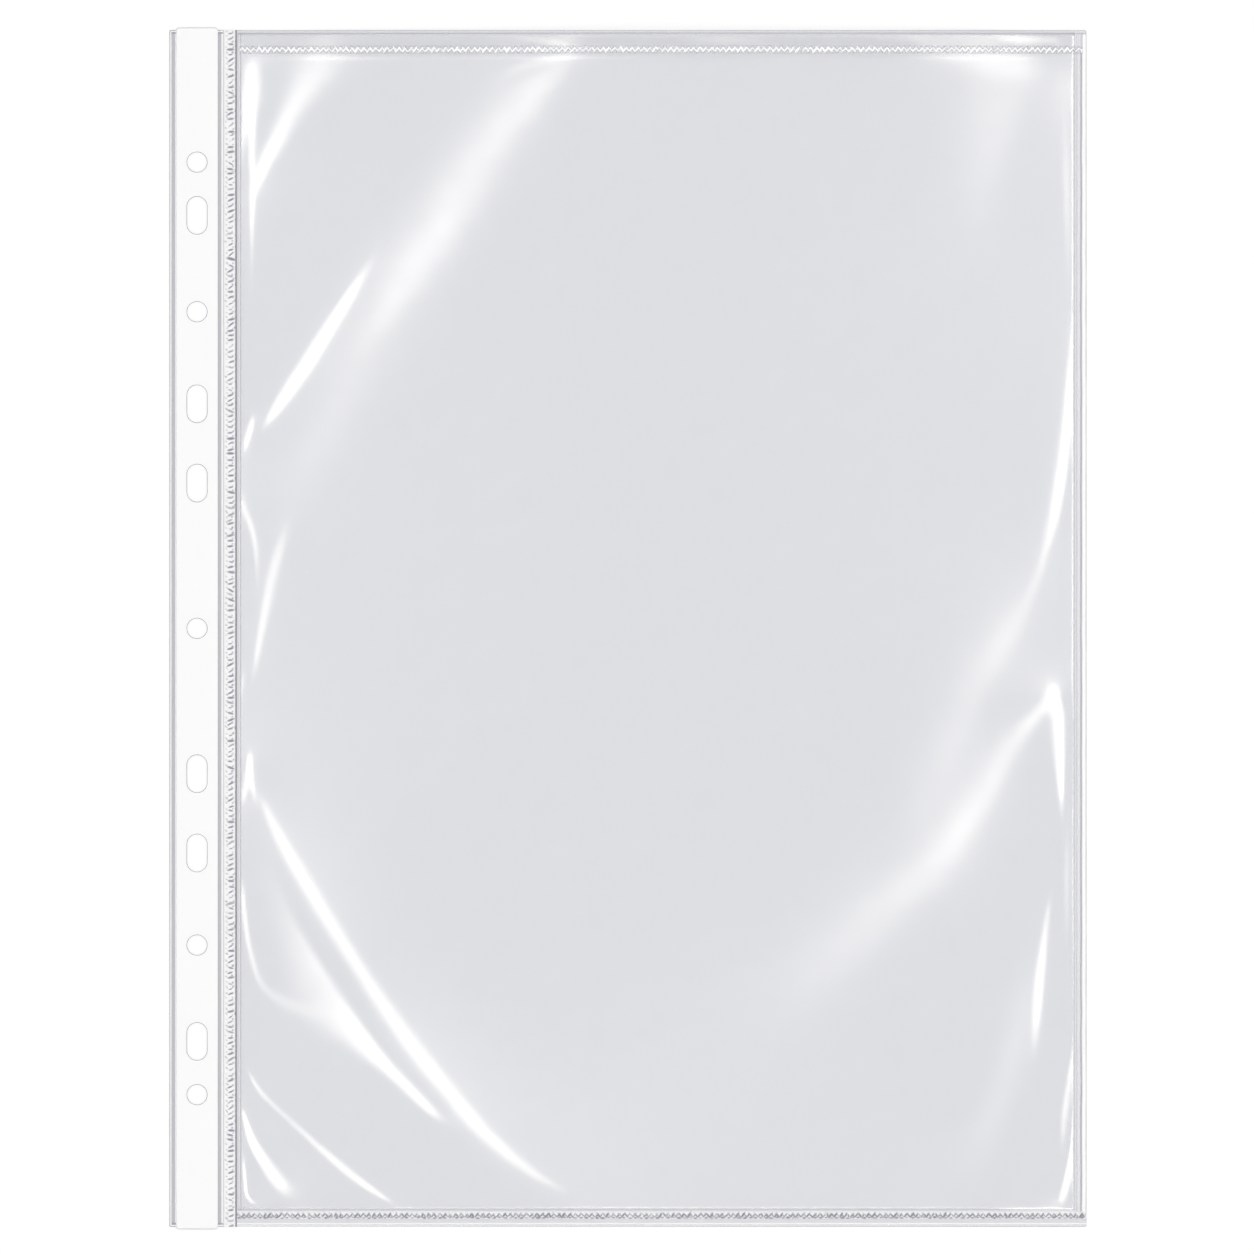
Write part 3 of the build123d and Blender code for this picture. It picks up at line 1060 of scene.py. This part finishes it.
def readField(field, column, row):
    # smooth reading between the places of a regular grid
    field = np.pad(field, 2, mode="reflect", reflect_type="odd")
    baseRow = np.floor(row).astype(int)
    baseColumn = np.floor(column).astype(int)

    def weights(t):
        # shares of four places in a row, for a smooth curve through them
        return (
            -0.5 * t + t ** 2 - 0.5 * t ** 3,
            1 - 2.5 * t ** 2 + 1.5 * t ** 3,
            0.5 * t + 2 * t ** 2 - 1.5 * t ** 3,
            -0.5 * t ** 2 + 0.5 * t ** 3,
        )

    total = np.zeros(np.shape(row))
    for rowStep, rowWeight in enumerate(weights(row - baseRow)):
        for columnStep, columnWeight in enumerate(weights(column - baseColumn)):
            total += rowWeight * columnWeight * field[baseRow + rowStep + 1, baseColumn + columnStep + 1]
    return total


def foldField(shape):
    # settled height of all the folds on a regular grid over the pocket
    low = np.array([weldHigh[0], bottomHigh[1]])
    high = np.array([sideLow[0], frontHigh[1]])
    counts = np.round((high - low) / shape["fieldStep"]).astype(int)
    step = (high - low) / counts
    xs = low[0] + np.arange(counts[0] + 1) * step[0]
    ys = low[1] + np.arange(counts[1] + 1) * step[1]
    gridX, gridY = np.meshgrid(xs, ys)
    slope = sum(foldSlope(gridX + 1j * gridY, fold) for fold in folds.values())
    field = settleFilm(slope * shape["foldGain"], step)
    print("folds settle between", round(field.min(), 2), "and", round(field.max(), 2), "mm")
    return {"low": low, "step": step, "height": field}


swellShape = {
    "waves": 7,
    "lengths": (0.7, 1.5),  # as multiples of the size
    "phase": 6.28,  # about a full turn
    "crest": 3,  # usual height of all waves together
}


def waves(x, y, size, seed):
    # gentle irregular swell, about 1 high at its crests
    draw = np.random.default_rng(seed)
    total = np.zeros_like(x)
    for _ in range(swellShape["waves"]):
        turn = draw.uniform(0, 2 * math.pi)
        length = size * draw.uniform(*swellShape["lengths"]) / (2 * math.pi)
        phase = draw.uniform(0, swellShape["phase"])
        total += np.sin((x * math.cos(turn) + y * math.sin(turn)) / length + phase)
    return total / swellShape["crest"]


def frontHeight(x, y, shape, field):
    # underside of the front film above the table
    fromLeft = np.maximum(x - weldHigh[0], 0)
    fromRight = np.maximum(sideLow[0] - x, 0)
    fromBottom = np.maximum(y - bottomHigh[1], 0)
    rise = 1.0
    for away in (fromLeft, fromRight, fromBottom):
        rise = rise * (1 - np.exp(-away / shape["seamReach"]))
    across = np.sin(math.pi * ramp(fromLeft, sideLow[0] - weldHigh[0])) ** shape["domePower"]
    mouth = ramp(y - shape["mouthStart"], frontHigh[1] - shape["mouthStart"])
    along = 1 - bell(fromBottom, shape["bottomReach"], shape["bottomPower"])
    along = along * (1 - shape["mouthDrop"] * mouth ** 2 * (3 - 2 * mouth))
    swell = sum(amount * waves(x, y, size, seed) for amount, size, seed in shape["swells"])
    height = shape["seamRise"] * rise + (shape["dome"] + swell) * across * along
    place = (x - field["low"][0]) / field["step"][0], (y - field["low"][1]) / field["step"][1]
    height = height + readField(field["height"], *place)
    return backHigh[2] + np.maximum(height, shape["least"])


def makeFront(shape):
    seams = [frontLow[0], frontHigh[0]]
    ends = [frontLow[1], hemLow[1] - shape["hemLine"]]
    xs = gradedPlaces(frontLow[0], frontHigh[0], seams, *shape["columnSpacing"])
    ys = gradedPlaces(frontLow[1], frontHigh[1], ends, *shape["rowSpacing"])
    middle = int(np.argmin(np.abs(xs - pocketCentre[0])))
    gridX, gridY = np.meshgrid(xs, ys)
    under = frontHeight(gridX, gridY, shape, foldHeights)
    # the bands beside the welds are painted light and shade of the film's steep rise
    haze, tone = bandMarks(gridX - weldHigh[0], shape["leftBands"])
    rightShadeHaze, rightShadeTone = bandMarks(sideLow[0] - gridX, shape["rightBands"])
    rightShadeHaze = rightShadeHaze * ramp(hemHigh[1] - gridY, shape["plainLip"])
    bottomShadeHaze, bottomShadeTone = bandMarks(gridY - bottomHigh[1], shape["bottomBands"])
    cornerEnd, cornerFade = shape["plainCorner"]
    bottomShadeHaze = bottomShadeHaze * ramp(cornerEnd - gridX, cornerFade)
    haze = np.maximum(np.maximum(haze, rightShadeHaze), bottomShadeHaze)
    tone = np.minimum(np.minimum(tone, rightShadeTone), bottomShadeTone)
    haze, tone = mouthMarks(haze, tone, frontHigh[1] - gridY, *shape["mouthLine"])
    for amount, size, seed in shape["clouds"]:
        haze = haze + amount * (1 + waves(gridX, gridY, size, seed))
    spans = (
        ("frontFilmLeft", slice(0, middle + 1), xs[0]),
        ("frontFilmRight", slice(middle, None), xs[-1]),
    )
    for name, part, seam in spans:
        grids = (grid[:, part] for grid in (gridX, gridY, under + filmThickness, under, haze, tone))
        half = quilt(name, *grids, clearFilm)
        start, end = ((x * mm, 0, backHigh[2] * mm) for x in (seam, xs[middle]))
        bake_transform(half)
        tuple(start)
        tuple(end)
        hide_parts("front_film")
        flat = (abs(xs[middle] - seam) * mm, (ys[-1] - ys[0]) * mm)
    return xs[middle]


foldHeights = foldField(frontShape)
frontMiddle = makeFront(frontShape)
print("front film made with", len(folds), "folds")


# hem pressed into the front film below the mouth

hemShape = {
    "columnStep": 0.1,
    "rowStep": 0.11,
    "thickness": 0.16,
    "least": 0.02,  # thickness along the edges
    "between": 0.3,  # share of the thickness between the strokes
    "edge": 0.3,
    "pitch": 1.5,
    "jitter": 0.08,
    "startInset": 0.6,  # left end, from the edge of the front film
    "overWeld": 1.7,  # length that runs on over the side weld
    "haze": (0.02, 0.97),  # between the strokes, and what a stroke adds
    "tone": (0.25, 0.95),
    "rows": (  # from the lower edge
        (0.95, 0.9, 0.42, 0.0, 0.75, 1.0),
        (1.05, 0.9, 0.38, 0.5, -0.75, 1.0),
    ),
    "bands": (
        (0.0, 0.1, 0.15, 0.5),
    ),
}


def makeHem(shape, seed=41):
    ys = evenPlaces(hemLow[1], hemHigh[1], shape["rowStep"], more=1)
    spans = (
        ("mouthHemLeft", frontLow[0] + shape["startInset"], frontMiddle, frontLow[0]),
        ("mouthHemRight", frontMiddle, sideLow[0] + shape["overWeld"], frontHigh[0]),
    )
    for number, (name, low, high, seam) in enumerate(spans):
        xs = evenPlaces(low, high, shape["columnStep"])
        gridX, gridY = np.meshgrid(xs, ys)
        across = gridY - hemLow[1]
        bumps = pressPattern(gridX, across, shape, seed + number)
        haze, tone = bandMarks(across, shape["bands"])
        haze = np.maximum(haze, shape["haze"][0] + shape["haze"][1] * bumps)
        tone = np.minimum(tone, shape["tone"][0] + shape["tone"][1] * bumps)
        onFilm = frontHeight(np.minimum(gridX, frontHigh[0]), gridY, frontShape, foldHeights)
        onFilm = np.maximum(onFilm + filmThickness, sideHigh[2])
        base = np.where(gridX > frontHigh[0], sideHigh[2], onFilm) + filmGap
        edge = ramp(np.minimum(across, hemHigh[1] - gridY), shape["edge"])
        raised = shape["between"] + (1 - shape["between"]) * bumps
        top = base + shape["least"] + shape["thickness"] * edge * raised
        half = quilt(name, gridX, gridY, top, base, haze, np.clip(tone, 0, 1), pressedWeld)
        start, end = ((x * mm, 0, backHigh[2] * mm) for x in (seam, frontMiddle))
        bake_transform(half)
        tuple(start)
        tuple(end)
        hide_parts("mouth_hem")


makeHem(hemShape)
print("mouth hem made")


# floor, light and camera

stageLook = {
    "floorDrop": 0.1,
    "floorSize": 7000.0,
    "floorWhite": 0.62,  # share of the floor's white that shadows can darken
    "floorGlow": 0.4,
    "floorRoughness": 0.9,
    "ambient": 0.38,
    "ringCount": 8,
    "ringHeight": 3200.0,
    "ring": (11.0, 25.0),  # degrees off the zenith, seen from the sheet
    "ringRadiance": 4.3,
    "bandLight": (5.4, 5.2, 4.85, 1.0),  # bright ring overhead that the film mirrors
    "bandRise": (1.0, 24.0),  # degrees off the zenith
    "bandFall": (30.0, 44.0),
    "lens": 700.0,
    "frameWidth": 322.75,
    "aim": (-0.24, 0.36),
}


def rayKind(finish, kind):
    return finish.node("ShaderNodeLightPath", {}, {}, f"Is {kind} Ray")


def seenRay(finish):
    # 1 for what is seen straight, in a mirror or through the film
    straight, mirrored, through = (rayKind(finish, kind) for kind in ("Camera", "Glossy", "Transmission"))
    return (straight + mirrored + through).atMost(1.0)


def makeFloor(look):
    half = look["floorSize"] / 2
    level = -look["floorDrop"]
    points = [(-half, -half, level), (half, -half, level), (half, half, level), (-half, half, level)]
    material, floor = newMaterial("studio_floor")
    surface = floor.node("ShaderNodeBsdfPrincipled", {}, {
        "Base Color": grey(look["floorWhite"]),
        "Roughness": look["floorRoughness"],
        "Specular IOR Level": 0.0,
        "Emission Color": look["floorGlow"] * seenRay(floor),
        "Emission Strength": 1.0,
    })
    floor.show(surface)
    piece = addPiece("studioFloor", points, [[0, 1, 2, 3]], {}, material)


def makeWorld(look):
    world = bpy.data.worlds.new("studio")
    world.use_nodes = True
    scene.world = world
    sky = Finish(world.node_tree)
    towards = sky.node("ShaderNodeTexCoord", {}, {}, "Generated")
    upward = sky.node("ShaderNodeSeparateXYZ", {}, {"Vector": towards}, "Z")
    band = 1.0
    for (near, far), below, above in ((look["bandRise"], 1.0, 0.0), (look["bandFall"], 0.0, 1.0)):
        limits = {"From Min": math.cos(math.radians(far)), "From Max": math.cos(math.radians(near))}
        sockets = {"Value": upward, **limits, "To Min": below, "To Max": above}
        band = band * sky.node("ShaderNodeMapRange", {"interpolation_type": "SMOOTHSTEP"}, sockets)
    level = look["ambient"] + (1 - look["ambient"]) * seenRay(sky)
    level = sky.shade(band * rayKind(sky, "Glossy"), level, look["bandLight"])
    light = sky.node("ShaderNodeBackground", {}, {"Color": level, "Strength": 1.0})
    sky.node("ShaderNodeOutputWorld", {}, {"Surface": light})


def makeRing(look):
    height = look["ringHeight"] * mm
    inner, outer = (height * math.tan(math.radians(angle)) for angle in look["ring"])
    radius = (inner + outer) / 2
    width = 2 * math.pi * radius / look["ringCount"]
    for index in range(look["ringCount"]):
        turn = 2 * math.pi * index / look["ringCount"]
        lamp = bpy.data.lights.new(f"softbox{index}", "AREA")
        lamp.shape = "RECTANGLE"
        lamp.size = outer - inner
        lamp.size_y = width
        lamp.energy = math.pi * lamp.size * lamp.size_y * look["ringRadiance"]
        box = bpy.data.objects.new(f"softbox{index}", lamp)
        box.location = (radius * math.cos(turn), radius * math.sin(turn), height)
        box.rotation_euler = (0, 0, turn)
        box.visible_glossy = False
        box.visible_camera = False
        scene.collection.objects.link(box)


def makeCamera(look):
    camera = bpy.data.cameras.new("camera")
    camera.lens = look["lens"]
    away = look["frameWidth"] * camera.lens / camera.sensor_width * mm
    rig = bpy.data.objects.new("camera", camera)
    rig.location = (look["aim"][0] * mm, look["aim"][1] * mm, away)
    scene.collection.objects.link(rig)
    scene.camera = rig


makeFloor(stageLook)
makeWorld(stageLook)
makeRing(stageLook)
makeCamera(stageLook)
scene.view_settings.view_transform = "Standard"
scene.cycles.transparent_max_bounces = 32
scene.cycles.max_bounces = 6
scene.cycles.diffuse_bounces = 2
print("stage made")
